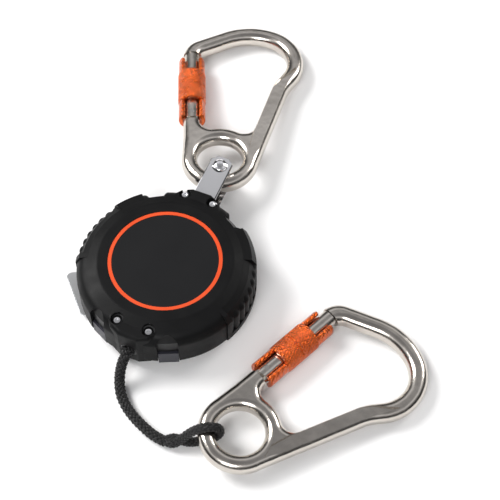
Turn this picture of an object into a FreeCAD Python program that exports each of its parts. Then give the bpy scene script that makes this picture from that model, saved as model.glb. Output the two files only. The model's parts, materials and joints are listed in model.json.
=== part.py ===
"""Retractable tool lanyard with two captive-eye carabiners, as a parametric FreeCAD document.

Row frame: origin on the resting plane under the middle of the case, +Z out of the label face,
+Y towards the anchor strap, +X to the right of the label.  Sizes are in millimetres.
"""

import FreeCAD, Part
import math
import os
import re
import Sketcher

Vector = FreeCAD.Vector
Rotation = FreeCAD.Rotation
Placement = FreeCAD.Placement
X_AXIS, Y_AXIS, Z_AXIS = Vector(1, 0, 0), Vector(0, 1, 0), Vector(0, 0, 1)

SIZES = {
    # case
    "case_bottom": 5.8, "case_top": 31.4, "parting": 15.2, "case_radius": 44.7, "foot_bevel": 2.6,
    "shoulder_height": 24.0, "shoulder_radius": 42.4, "shoulder_top": 28.4, "face_radius": 34.0,
    "jacket_wall": 2.1, "shell_low": 7.6, "shell_wall": 1.8, "shell_top": 30.4, "skin_gap": 0.05,
    "shell_corner": 3.0, "shell_shoulder": 23.2, "shell_slope": 26.8, "face_lip": 1.4,
    "hollow_corner": 7.2, "hollow_slope": 25.4, "post_low": 9.0,
    "top_boss_reach": 45.8, "bottom_boss_reach": 45.3, "boss_half_width": 13.2, "boss_height": 29.6,
    "boss_foot": 6.6, "boss_root": 30.0, "boss_flare": 2.0, "boss_slope": 9.0, "boss_nose": 2.6,
    "boss_flat": 5.0, "hollow_room": 21.8, "window_top": 23.6, "pad_root": 41.6,
    "pad_face": 43.9, "pad_low": 6.3, "pad_gap": 0.3, "window_depth": 5.5,
    # raised grips with finger ribs
    "grip_proud": 0.7, "grip_low": 7.6, "grip_top": 28.8, "grip_root": 38.4, "grip_end": 29.8,
    "rib_count": 8, "rib_pitch": 6.4, "rib_radius": 3.0, "rib_ball": 3.03, "rib_low": 12.2, "rib_bed": 0.6,
    "rib_corner": 22.6, "rib_top": 26.4, "rib_top_circle": 38.6, "rib_sink": 0.15,
    "label_radius": 28.6, "label_ring_width": 1.85, "label_thick": 0.6,
    # screws
    "top_screw_x": 7.65, "top_screw_y": 41.1, "bottom_screw_x": 8.35, "bottom_screw_y": 38.3,
    "screw_radius": 1.5, "screw_head_radius": 2.5, "screw_head_height": 1.7, "screw_seat": 26.6,
    "screw_foot": 10.2, "boss_radius": 3.0, "counterbore": 3.2, "insert_radius": 2.2,
    "insert_length": 4.4, "screw_gap": 0.2, "drive_radius": 0.95, "drive_depth": 0.9,
    # reel and return spring
    "axle_radius": 3.0, "axle_low": 7.9, "axle_high": 29.9, "run_gap": 0.06,
    "reel_radius": 35.5, "flange_low": 9.9, "flange_thick": 1.1, "channel_height": 8.6,
    "hub_radius": 13.0, "neck_radius": 8.0, "neck_top": 27.4, "wound_radius": 33.5,
    "bush_radius": 4.6, "bush_length": 2.4, "cover_low": 21.3, "cover_thick": 0.8, "cover_radius": 38.0,
    "spring_low": 22.6, "spring_width": 5.2, "spring_strip": 0.5, "spring_inner": 8.9,
    "spring_pitch": 2.3, "spring_turns": 10,
    # cord and its outlet
    "cord_diameter": 5.3, "outlet_hole": 2.95, "outlet_radius": 4.4, "outlet_inner": 38.4,
    "loop_cord": 4.2, "loop_wrap": 7.15, "loop_reach": 12.6, "floor_gap": 0.15,
    # anchor strap and its pin
    "strap_half_width": 6.0, "strap_thick": 1.4, "strap_gap": 11.8, "strap_end": 74.2,
    "strap_root": 36.9, "wing_half_width": 10.4, "wing_end": 44.0,
    "pin_y": 68.2, "pin_radius": 1.8, "pin_head_radius": 4.1, "pin_head_height": 2.0,
    # belt clip
    "clip_thick": 1.2, "clip_width": 27.0, "clip_length": 59.8, "clip_pad_low": 4.3, "clip_lift": 2.4,
    "clip_pad_end": 12.0, "clip_bow": 21.0, "clip_bend": 54.0, "clip_corner": 3.0,
    "clip_notch": 0.55, "clip_notch_pitch": 1.9, "clip_pivot_y": 19.4, "clip_heading": 224.0,
    "rivet_radius": 2.5, "rivet_head_radius": 5.0, "rivet_foot": 2.6, "rivet_top": 9.2,
    "washer_radius": 6.5,
    # carabiners
    "bar_half": 4.7, "bar_round": 4.0, "ring_radius": 16.3, "ring_bar": 4.2, "hollow": 6.0,
    "web_half": 3.3,
    "gate_pin_x": 25.2, "gate_pin_y": 24.7, "gate_tilt": 19.75, "gate_radius": 4.3, "gate_length": 44.0,
    "gate_neck": 3.6, "gate_slot": 1.9, "gate_slot_depth": 6.4, "shoulder_gap": 5.65,
    "nose_gap": 0.4, "tongue_half": 1.7, "tongue_reach": 3.4,
    "hinge_pin_radius": 1.3, "gate_bore": 1.55, "gate_bore_depth": 20.0,
    "sleeve_start": -3.6, "sleeve_end": 39.6, "sleeve_radius": 7.7, "sleeve_lip_radius": 7.3,
    "sleeve_bore": 5.0, "sleeve_cavity": 6.2, "cavity_start": 10.5, "cavity_end": 26.5,
    "window_hinge": 8.4, "window_nose": 29.4, "prong_half_angle": 42.0,
    "guide_pin_radius": 0.8, "guide_pin_at": 24.2, "guide_pin_foot": 3.4, "guide_pin_length": 9.2,
}

CORD_ROUTE = [(0.0, -40.6, 15.2), (-0.4, -47.6, 14.9), (-1.2, -52.8, 9.8), (0.0, -57.9, 4.4),
              (3.2, -63.3, 2.8), (8.4, -68.2, 2.72), (14.8, -72.1, 2.72), (22.0, -75.2, 2.72),
              (28.2, -77.2, 2.72), (33.4, -77.6, 2.75)]

# arched windows in the jackets: heading and width
WINDOWS = ((-64.7, 10.6), (-115.3, 10.6), (59.0, 14.0), (121.0, 14.0))
# where the loop crosses the lower ring, seen from the ring's centre, and the loop's own heading
RING_HEADING, LOOP_HEADING = 158.0, 33.5
# raised grips: headings of both ends and of the first rib
GRIPS = ((-24.0, 50.5, -20.5), (130.5, 199.0, 150.0))

doc = FreeCAD.newDocument("tool_lanyard")
sheet = doc.addObject("Spreadsheet::Sheet", "sizes")
for row, (alias, value) in enumerate(SIZES.items(), start=1):
    sheet.set("A%d" % row, alias)
    sheet.set("B%d" % row, str(value))
    sheet.setAlias("B%d" % row, alias)
doc.recompute()

parts = {}


# ---------------------------------------------------------------- helpers

def size(text):
    """Value of a formula over the sheet's aliases."""
    if not isinstance(text, str):
        return float(text)
    words = re.findall(r"[a-z_]+", text)
    total = 0.0
    for sign, term in re.findall(r"([+-]?)\s*([^+-]+)", text):
        product = 1.0
        for factor in term.split("*"):
            factor = factor.strip()
            product *= float(sheet.get(factor)) if factor in words else float(factor)
        total += -product if sign == "-" else product
    return total


def formula(text):
    """The same formula as an expression that reads the sheet."""
    return re.sub(r"[a-z_]+", lambda found: "sizes." + found.group(), str(text))


def span(low, high):
    """Formula of the distance between two formulas."""
    return "(%s) - (%s)" % (high, low)


def bind(thing, **bindings):
    """Bind properties of an object to formulas; __ in a name stands for a dot."""
    for name, text in bindings.items():
        thing.setExpression(name.replace("__", "."), formula(text))
    return thing


def keep(node, thing, placement=None):
    """Give the finished object its node name and, where it has one, its place."""
    if placement is not None:
        thing.Placement = placement
    thing.Label = node
    parts[node] = thing
    return thing


def cylinder(name, radius, low, high, x=0, y=0):
    """Upright cylinder between two heights."""
    made = doc.addObject("Part::Cylinder", name)
    return bind(made, Radius=radius, Height=span(low, high), Placement__Base__x=x,
                Placement__Base__y=y, Placement__Base__z=low)


def rod(name, radius, start, end, axis=X_AXIS, y=0, z=0):
    """Cylinder lying along an axis, from start to end on it."""
    made = doc.addObject("Part::Cylinder", name)
    made.Placement = Placement(axis * size(start) + Vector(0, size(y), size(z)), Rotation(Z_AXIS, axis))
    return bind(made, Radius=radius, Height=span(start, end))


def box(name, x, y, z):
    """Box from three (low, high) pairs of formulas."""
    made = doc.addObject("Part::Box", name)
    return bind(made, Length=span(*x), Width=span(*y), Height=span(*z), Placement__Base__x=x[0],
                Placement__Base__y=y[0], Placement__Base__z=z[0])


def feature(name, shape, placement=None):
    """Object whose shape is made by Part's functions from sizes in the sheet."""
    made = doc.addObject("Part::Feature", name)
    made.Shape = shape
    if placement is not None:
        made.Placement = placement
    return made


def fuse(name, things):
    """Union of several objects."""
    made = doc.addObject("Part::MultiFuse", name)
    made.Shapes = list(things)
    made.Refine = False
    return made


def cut(name, base, tools):
    """Base object less one tool after another."""
    made = base
    for number, tool in enumerate(tools):
        less = doc.addObject("Part::Cut", "%s_%d" % (name, number))
        less.Base = made
        less.Tool = tool
        made = less
    return made


def plane_of(body, role):
    """One of a body's own origin planes."""
    return [item for item in body.Origin.OriginFeatures if item.Role == role][0]


def outlined(body, name, role, corners):
    """Sketch of a closed polygon whose corners are bound to formulas."""
    sketch = body.newObject("Sketcher::SketchObject", name + "_outline")
    sketch.AttachmentSupport = [(plane_of(body, role), "")]
    sketch.MapMode = "FlatFace"
    spots = [Vector(size(x), size(y), 0) for x, y in corners]
    count = len(spots)
    for index, spot in enumerate(spots):
        sketch.addGeometry(Part.LineSegment(spot, spots[(index + 1) % count]), False)
    for index in range(count):
        sketch.addConstraint(Sketcher.Constraint("Coincident", index, 2, (index + 1) % count, 1))
    for index, (x, y) in enumerate(corners):
        for kind, text, value in (("DistanceX", x, spots[index].x), ("DistanceY", y, spots[index].y)):
            place = sketch.addConstraint(Sketcher.Constraint(kind, -1, 1, index, 1, value))
            sketch.setExpression("Constraints[%d]" % place, formula(text))
    return sketch


def turned(name, corners, soften=()):
    """Body turned about Z from (radius, height) corners, with chosen rims rounded."""
    body = doc.addObject("PartDesign::Body", name)
    sketch = outlined(body, name, "XZ_Plane", corners)
    turn = body.newObject("PartDesign::Revolution", name + "_turn")
    turn.Profile = sketch
    turn.ReferenceAxis = (sketch, ["V_Axis"])
    turn.Angle = 360
    doc.recompute()
    last = turn
    for number, (radius, height, fillet) in enumerate(soften):
        rims = ["Edge%d" % (place + 1) for place, edge in enumerate(last.Shape.Edges)
                if edge.BoundBox.ZLength < 1e-6 and abs(edge.BoundBox.ZMin - size(height)) < 1e-4
                and abs(edge.BoundBox.XMax - size(radius)) < 1e-3]
        rounded = body.newObject("PartDesign::Fillet", "%s_round%d" % (name, number))
        rounded.Base = (last, rims)
        rounded.Radius = fillet
        last = rounded
        doc.recompute()
    return body


def padded(name, corners, low, high, role="XY_Plane"):
    """Body padded from a polygon; low and high are heights along the plane's normal."""
    body = doc.addObject("PartDesign::Body", name)
    sketch = outlined(body, name, role, corners)
    bind(sketch, AttachmentOffset__Base__z=low)
    pad = body.newObject("PartDesign::Pad", name + "_pad")
    pad.Profile = sketch
    bind(pad, Length=span(low, high))
    return body


def soft_edges(name, base, radius, choose):
    """Rounded copy of an object: choose picks the edges."""
    doc.recompute()
    made = doc.addObject("Part::Fillet", name)
    made.Base = base
    made.Edges = [(place + 1, radius, radius) for place, edge in enumerate(base.Shape.Edges)
                  if choose(edge)]
    return made


def tangent_wire(corners, radii):
    """Straight runs joined by tangent arcs of the given radii."""
    spots = [Vector(*corner) for corner in corners]
    edges = []
    start = spots[0]
    for radius, before, corner, after in zip(radii, spots, spots[1:], spots[2:]):
        back = (before - corner).normalize()
        ahead = (after - corner).normalize()
        half = back.getAngle(ahead) / 2
        reach = radius / math.tan(half)
        middle = corner + (back + ahead).normalize() * (radius / math.sin(half) - radius)
        edges.append(Part.LineSegment(start, corner + back * reach).toShape())
        edges.append(Part.Arc(corner + back * reach, middle, corner + ahead * reach).toShape())
        start = corner + ahead * reach
    edges.append(Part.LineSegment(start, spots[-1]).toShape())
    return Part.Wire(edges)


def free_radii(corners):
    """Arc radii as large as the two runs beside each corner allow."""
    spots = [Vector(*corner) for corner in corners]
    radii = []
    for before, corner, after in zip(spots, spots[1:], spots[2:]):
        turn = math.pi - (before - corner).getAngle(after - corner)
        run = min((corner - before).Length, (after - corner).Length)
        radii.append(0.45 * run / math.tan(turn / 2))
    return radii


def tube(wire, radius):
    """Round bar swept along a wire of lines and tangent arcs."""
    edge = wire.OrderedEdges[0]
    heading = edge.tangentAt(edge.FirstParameter)
    circle = Part.makeCircle(radius, edge.valueAt(edge.FirstParameter), heading)
    swept = wire.makePipeShell([Part.Wire([circle])], True, False)
    return Part.Solid(swept) if swept.ShapeType == "Shell" else swept


def polar(distance, degrees):
    """Point at a distance and heading in the plane."""
    return Vector(distance * math.cos(math.radians(degrees)), distance * math.sin(math.radians(degrees)), 0)


def screw_places():
    """The four screw axes as pairs of formulas."""
    return [("%stop_screw_x" % sign, "top_screw_y") for sign in ("", "-")] + \
           [("%sbottom_screw_x" % sign, "-bottom_screw_y") for sign in ("", "-")]


# ---------------------------------------------------------------- case

def strap_room(name, gap, open_mouth=False):
    """Space that the strap's two legs and its fold take inside the case, with a gap round them."""
    half = size("strap_gap") / 2
    thick = size("strap_thick")
    middle = size("parting")
    root, neck, end = size("strap_root") - gap, size("wing_end"), size("strap_end")
    wing = size("wing_half_width") + gap
    leg = size("strap_half_width") + gap
    blocks = []
    for low in (middle - half - thick - gap, middle + half - gap):
        blocks.append(Part.makeBox(2 * wing, neck + gap - root, thick + 2 * gap, Vector(-wing, root, low)))
        blocks.append(Part.makeBox(2 * leg, end - neck, thick + 2 * gap, Vector(-leg, neck, low)))
    tall = 2 * (half + thick + gap)
    blocks.append(Part.makeBox(2 * leg, thick + 2 * gap, tall, Vector(-leg, root, middle - tall / 2)))
    if open_mouth:
        blocks.append(Part.makeBox(2 * leg, end - neck, tall, Vector(-leg, neck - 4, middle - tall / 2)))
    return feature(name, blocks[0].multiFuse(blocks[1:]))


def skin_core(name, gap):
    """Solid of the inner shells' outside, with their screw bosses; the jackets are cut by it."""
    grow = " + %s" % gap
    wall = "case_radius - jacket_wall" + grow
    core = turned(name + "_core", [
        (0, "shell_low - %s" % gap), ("case_radius - shell_corner" + grow, "shell_low - %s" % gap),
        (wall, "case_bottom + shell_corner"), (wall, "shell_shoulder"),
        ("shoulder_radius - jacket_wall" + grow, "shell_slope"),
        ("face_radius - face_lip" + grow, "shell_top + %s" % gap), (0, "shell_top + %s" % gap)])
    bosses = [cylinder("%s_boss%d" % (name, place), "boss_radius" + grow, "post_low",
                       "screw_seat + %s" % gap, x, y) for place, (x, y) in enumerate(screw_places())]
    return fuse(name, [core] + bosses)


def half_space(name, low, high):
    """Block that keeps one half of the case."""
    return box(name, (-70, 70), (-70, 70), (low, high))


def window_pad(name, heading, width):
    """Block of the rear shell that fills a window below the parting plane, nearly flush with the rubber."""
    root = size("pad_root")
    low = size("pad_low")
    slim = width - 2 * size("pad_gap")
    block = Part.makeBox(size("pad_face") - root, slim, size("parting") - low, Vector(root, -slim / 2, low))
    return feature(name, block, Placement(Vector(), Rotation(Z_AXIS, heading)))


def shell_half(half, hollow, between, seat, drill):
    """One inner shell: the skin's half, hollowed, with its axle seat and screw holes."""
    skin = skin_core(half + "_skin", 0)
    if half == "rear":
        skin = fuse("rear_padded", [skin] + [window_pad("rear_pad%d" % place, heading, width)
                                             for place, (heading, width) in enumerate(WINDOWS)])
    posts = [cylinder("%s_post%d" % (half, place), "boss_radius", "post_low", "screw_seat", x, y)
             for place, (x, y) in enumerate(screw_places())]
    tools = [cut(half + "_room", hollow_copy(hollow, half), posts),
             cylinder(half + "_axle_seat", "axle_radius", *seat),
             strap_room(half + "_strap_room", 0.15), outlet_room(half + "_outlet_room")]
    tools += [cylinder("%s_drill%d" % (half, place), *drill, x, y)
              for place, (x, y) in enumerate(screw_places())]
    if half == "front":
        tools += [cylinder("front_head_way%d" % place, "screw_head_radius + screw_gap", "screw_seat",
                           "case_top + 5", x, y) for place, (x, y) in enumerate(screw_places())]
    else:
        tools.append(cylinder("rear_rivet_hole", "rivet_radius", -1, "rivet_top", 0, "clip_pivot_y"))
        tools += [cylinder("rear_screw_way%d" % place, "screw_radius + screw_gap",
                           "screw_foot + insert_length - 1", "parting + 1", x, y)
                  for place, (x, y) in enumerate(screw_places())]
    kept = doc.addObject("Part::Common", half + "_half")
    kept.Base = cut(half + "_whole", skin, tools)
    kept.Tool = half_space(half + "_block", *between)
    kept.Refine = True
    return kept


def make_shells():
    """Inner plastic shells: one hollow skin, split at the parting plane."""
    room = "case_radius - jacket_wall - shell_wall"
    hollow = turned("shell_hollow", [
        (0, "shell_low + shell_wall"), ("case_radius - hollow_corner", "shell_low + shell_wall"),
        (room, "shell_low + shell_corner"), (room, "hollow_room"),
        ("shoulder_radius - jacket_wall - shell_wall", "hollow_slope"),
        ("face_radius - face_lip - shell_wall", "shell_top - shell_wall"),
        (0, "shell_top - shell_wall")])
    keep("front_shell", shell_half("front", hollow, ("parting", "case_top + 5"),
                                   ("shell_top - shell_wall - 1", "axle_high"),
                                   ("screw_radius + screw_gap", "parting - 1", "screw_seat + 1")))
    keep("rear_shell", shell_half("rear", hollow, ("case_bottom - 5", "parting"),
                                  ("axle_low", "flange_low - 0.4"),
                                  ("insert_radius", "screw_foot", "screw_foot + insert_length")))


def hollow_copy(hollow, half):
    """Another object with the hollow's shape, so that each half has its own."""
    doc.recompute()
    return feature(half + "_hollow", hollow.Shape.copy())


def outlet_room(name):
    """Bore for the cord's outlet bush."""
    return rod(name, "outlet_radius", "-bottom_boss_reach - 3", "1 - outlet_inner", Y_AXIS, 0, "parting")


def window(name, heading, width):
    """Arched notch that opens the rubber jacket onto the inner shell."""
    inner = size("case_radius - window_depth")
    outer = size("case_radius") + 8
    foot = size("case_bottom") - 4
    arch_top = size("window_top")
    plate = Part.makeBox(outer - inner, width, arch_top - foot, Vector(inner, -width / 2, foot))
    arch = Part.makeCylinder(width / 2, outer - inner, Vector(inner, 0, arch_top), X_AXIS)
    return feature(name, plate.fuse(arch), Placement(Vector(), Rotation(Z_AXIS, heading)))


def swept_sector(corners, start, end):
    """Ring segment between two headings from a polygon of (radius, height) corners."""
    spots = [Vector(radius, 0, height) for radius, height in corners]
    segment = Part.Face(Part.makePolygon(spots + spots[:1])).revolve(Vector(), Z_AXIS, end - start)
    segment.rotate(Vector(), Z_AXIS, start)
    return segment


def grip_pad(start, end):
    """Raised band of rubber between two headings, following wall and shoulder."""
    proud = size("grip_proud")
    low = size("grip_low")
    wall = size("case_radius") + proud
    root = size("grip_root")
    return swept_sector([(root, low), (wall - 1, low), (wall, low + 1),
                         (wall, size("shoulder_height") + 0.3),
                         (size("shoulder_radius") + proud, size("grip_top")),
                         (root, size("grip_end"))], start, end)


def rib_bed(start, end):
    """Rubber taken away between two headings, down to the bottom of the grooves."""
    wall = size("case_radius - rib_bed")
    outside = size("case_radius") + 5
    low = size("rib_low")
    return swept_sector([(wall, low), (outside, low), (outside, size("case_top") + 2),
                         (size("rib_top_circle"), size("case_top") + 2),
                         (size("rib_top_circle"), size("grip_end")),
                         (size("shoulder_radius - rib_bed"), size("shoulder_top") - 0.6),
                         (wall, size("shoulder_height"))], start, end)


def finger_rib():
    """Rounded rib at heading zero: up the wall, round the corner and in over the shoulder."""
    radius = size("rib_radius")
    circle = size("case_radius + grip_proud - rib_sink") - radius
    foot = Vector(circle, 0, size("rib_low"))
    corner = Vector(circle, 0, size("rib_corner"))
    top = Vector(size("rib_top_circle") - 1, 0, size("rib_top"))
    rib = Part.makeCylinder(radius, corner.z - foot.z, foot)
    slope = Part.makeCylinder(radius, (top - corner).Length, corner, top - corner)
    balls = [Part.makeSphere(size("rib_ball"), spot) for spot in (foot, corner, top)]
    return rib.multiFuse([slope] + balls)


def add_grips(rubber):
    """The case's rubber with both raised grips and their ribs."""
    pitch = size("rib_pitch")
    count = int(size("rib_count"))
    for pad_start, pad_end, first in GRIPS:
        rubber = rubber.fuse(grip_pad(pad_start, pad_end))
        rubber = rubber.cut(rib_bed(first, first + pitch * (count - 1)))
        for place in range(count):
            rib = finger_rib()
            rib.rotate(Vector(), Z_AXIS, first + pitch * place)
            rubber = rubber.fuse(rib)
    return rubber


def boss_block(name, side, reach):
    """Raised block round two screws, with slanted shoulders; side is "" or "-"."""
    def at(text):
        """Height of a corner on the block's own side of the case."""
        return text if not side else "-" + text.replace(" - ", " + ")
    wide = "boss_half_width + boss_flare"
    nose = "boss_half_width - 3"
    return padded(name, [("-" + wide.replace("+", "-"), at("boss_root")), (wide, at("boss_root")),
                         (wide, at(reach + " - boss_slope")), (nose, at(reach + " - boss_nose")),
                         ("boss_flat", at(reach)), ("-boss_flat", at(reach)),
                         ("3 - boss_half_width", at(reach + " - boss_nose")),
                         ("-" + wide.replace("+", "-"), at(reach + " - boss_slope"))],
                  "boss_foot", "boss_height")


def jacket_blank():
    """Outside of both rubber jackets in one solid."""
    wall = "case_radius"
    foot = "case_bottom + foot_bevel"
    outer = turned("jacket_skin", [
        (0, "case_bottom"), (wall + " - foot_bevel", "case_bottom"), (wall, foot),
        (wall, "shoulder_height"), ("shoulder_radius", "shoulder_top"), ("face_radius", "case_top"),
        (0, "case_top")], [("face_radius", "case_top", 3.0), ("shoulder_radius", "shoulder_top", 6.0),
                           (wall, "shoulder_height", 5.0), (wall, foot, 2.0)])
    bosses = [soft_edges(name + "_soft", boss_block(name, side, reach), 2.2,
                         lambda edge: edge.BoundBox.ZMin > size("boss_height") - 0.1)
              for name, side, reach in (("top_boss", "", "top_boss_reach"),
                                        ("bottom_boss", "-", "bottom_boss_reach"))]
    doc.recompute()
    return add_grips(outer.Shape).fuse([boss.Shape for boss in bosses])


def make_jackets():
    """Soft rubber jackets over both shells, split at the parting plane."""
    blank = jacket_blank()
    for half in ("front", "rear"):
        tools = [skin_core(half + "_jacket_core", "skin_gap")]
        tools += [window("%s_window%d" % (half, place), heading, width)
                  for place, (heading, width) in enumerate(WINDOWS)]
        tools += [strap_room(half + "_jacket_strap_room", 0.3, True), outlet_room(half + "_jacket_outlet")]
        if half == "front":
            tools.append(cylinder("label_room", "label_radius", "shell_top - 1", "case_top + 5"))
            tools += [cylinder("front_counterbore%d" % place, "counterbore", "screw_seat - 0.1",
                               "case_top + 5", x, y) for place, (x, y) in enumerate(screw_places())]
            tools.append(half_space("front_jacket_limit", "case_bottom - 5", "parting + 0.02"))
        else:
            tools.append(cylinder("rear_jacket_rivet_way", "rivet_radius + 0.1", -1, "rivet_top", 0,
                                  "clip_pivot_y"))
            tools.append(half_space("rear_jacket_limit", "parting - 0.02", "case_top + 5"))
        doc.recompute()
        rubber = blank
        for tool in tools:
            rubber = rubber.cut(tool.Shape)
        keep(half + "_jacket", feature(half + "_jacket_rubber", rubber))


def make_label():
    """Plain label disc and the coloured ring round it, on the front shell."""
    keep("label_disc", cylinder("label_plate", "label_radius - label_ring_width - 0.15", "shell_top",
                                "shell_top + label_thick"))
    rim = cylinder("label_rim", "label_radius - 0.1", "shell_top", "shell_top + label_thick + 0.15")
    hole = cylinder("label_rim_hole", "label_radius - label_ring_width - 0.1", "shell_top - 1",
                    "shell_top + 3")
    keep("label_ring", cut("label_band", rim, [hole]))


def make_screws():
    """Four dome-head screws and the threaded inserts that they bite into."""
    screws, inserts = [], []
    tip = "screw_foot + 0.6"
    head_top = "screw_seat + screw_head_height"
    insert_top = "screw_foot + insert_length"
    for place, (x, y) in enumerate(screw_places()):
        axis = Vector(size(x), size(y), 0)
        head = turned("screw_head%d" % place, [
            (0, tip), ("screw_radius", tip), ("screw_radius", "screw_seat"),
            ("screw_head_radius", "screw_seat"), ("screw_head_radius", "screw_seat + 0.7"),
            ("screw_head_radius - 0.9", head_top + " - 0.1"), (0, head_top)],
            [("screw_head_radius", "screw_seat + 0.7", 0.6)])
        head.Placement = Placement(axis, Rotation())
        drive = cylinder("screw_drive%d" % place, "drive_radius", head_top + " - drive_depth",
                         head_top + " + 1", x, y)
        screws.append(cut("screw%d" % place, head, [drive]))
        outer = cylinder("insert_outer%d" % place, "insert_radius - 0.03", "screw_foot", insert_top, x, y)
        inner = cylinder("insert_inner%d" % place, "screw_radius + 0.03", "screw_foot - 1", "parting", x, y)
        inserts.append(cut("insert%d" % place, outer, [inner]))
    keep("case_screws", fuse("screws", screws))
    keep("screw_inserts", fuse("inserts", inserts))


# ---------------------------------------------------------------- reel and spring

def make_reel():
    """Cord reel on its axle: hub with the lower flange, upper flange, bushes and the wound cord."""
    low = "flange_low"
    floor = "flange_low + flange_thick"
    roof = "flange_low + flange_thick + channel_height"
    hub = turned("reel_blank", [
        ("bush_radius", low), ("reel_radius", low), ("reel_radius", floor), ("hub_radius", floor),
        ("hub_radius", roof), ("neck_radius", roof), ("neck_radius", "neck_top"),
        ("bush_radius", "neck_top")])
    slot = box("neck_slot", (-0.5, 0.5), (4, "neck_radius + 1"), ("spring_low", "neck_top + 1"))
    keep("cord_reel", cut("reel_hub", hub, [slot]))
    neck_hole = "neck_radius + 0.03"
    top = roof + " + flange_thick"
    keep("reel_flange", turned("upper_flange", [(neck_hole, roof), ("reel_radius", roof),
                                                ("reel_radius", top), (neck_hole, top)]))
    inner = "hub_radius + 0.05"
    keep("wound_cord", turned("cord_winding", [
        (inner, floor + " + 0.1"), ("wound_radius - 1.5", floor + " + 0.1"),
        ("wound_radius", floor + " + 1.8"), ("wound_radius", roof + " - 1.8"),
        ("wound_radius - 1.5", roof + " - 0.1"), (inner, roof + " - 0.1")]))
    bushes = []
    for place, (start, end) in enumerate((("flange_low", "flange_low + bush_length"),
                                          ("neck_top - bush_length", "neck_top"))):
        ring = cylinder("bush_ring%d" % place, "bush_radius - 0.02", start, end)
        bore = cylinder("bush_bore%d" % place, "axle_radius + run_gap", "axle_low", "axle_high")
        bushes.append(cut("bush%d" % place, ring, [bore]))
    keep("reel_bushes", fuse("bushes", bushes))
    keep("reel_axle", cylinder("axle", "axle_radius", "axle_low", "axle_high"))


def make_spring():
    """Flat power spring of half-circle turns about two centres, and the cover plate under it."""
    step = size("spring_pitch") / 2
    half_strip = size("spring_strip") / 2
    sides = []
    for offset in (half_strip, -half_strip):
        arcs = []
        for turn in range(2 * int(size("spring_turns"))):
            centre = Vector(0, 0, 0) if turn % 2 == 0 else Vector(step, 0, 0)
            radius = size("spring_inner") + step * turn + offset
            side = 1 if turn % 2 == 0 else -1
            ends = (centre + Vector(side * radius, 0, 0), centre + Vector(0, side * radius, 0),
                    centre - Vector(side * radius, 0, 0))
            arcs.append(Part.Arc(*ends).toShape())
        sides.append(arcs)
    first = [edges[0].Vertexes[0].Point for edges in sides]
    last = [edges[-1].Vertexes[-1].Point for edges in sides]
    caps = [Part.LineSegment(*first).toShape(), Part.LineSegment(*last).toShape()]
    outline = Part.Wire(Part.__sortEdges__(sides[0] + sides[1] + caps))
    strip = Part.Face(outline).extrude(Vector(0, 0, size("spring_width")))
    place = Placement(Vector(0, 0, size("spring_low")), Rotation())
    keep("mainspring", feature("power_spring", strip, place))
    plate = cylinder("cover_plate", "cover_radius", "cover_low", "cover_low + cover_thick")
    notches = [cylinder("cover_notch%d" % place, "boss_radius + 0.15", "cover_low - 1",
                        "cover_low + 2", x, y) for place, (x, y) in enumerate(screw_places())]
    hole = cylinder("cover_hole", "neck_radius + 0.6", "cover_low - 1", "cover_low + 2")
    keep("spring_cover", cut("cover_disc", plate, [hole, strap_room("cover_strap_room", 0.3)] + notches))


def make_outlet():
    """Bush that guides the cord out of the bottom of the case."""
    tube_outer = rod("outlet_outer", "outlet_radius - 0.05", "0.2 - bottom_boss_reach", "-outlet_inner",
                     Y_AXIS, 0, "parting")
    hole = rod("outlet_bore", "outlet_hole", "-bottom_boss_reach - 1", "1 - outlet_inner", Y_AXIS, 0,
               "parting")
    lip = Part.makeCone(size("outlet_hole") + 0.9, size("outlet_hole"), 1.2,
                        Vector(0, 0.19 - size("bottom_boss_reach"), size("parting")), Y_AXIS)
    keep("cord_outlet", cut("outlet_bush", tube_outer, [hole, feature("outlet_lip", lip)]))


# ---------------------------------------------------------------- anchor strap and belt clip

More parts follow.
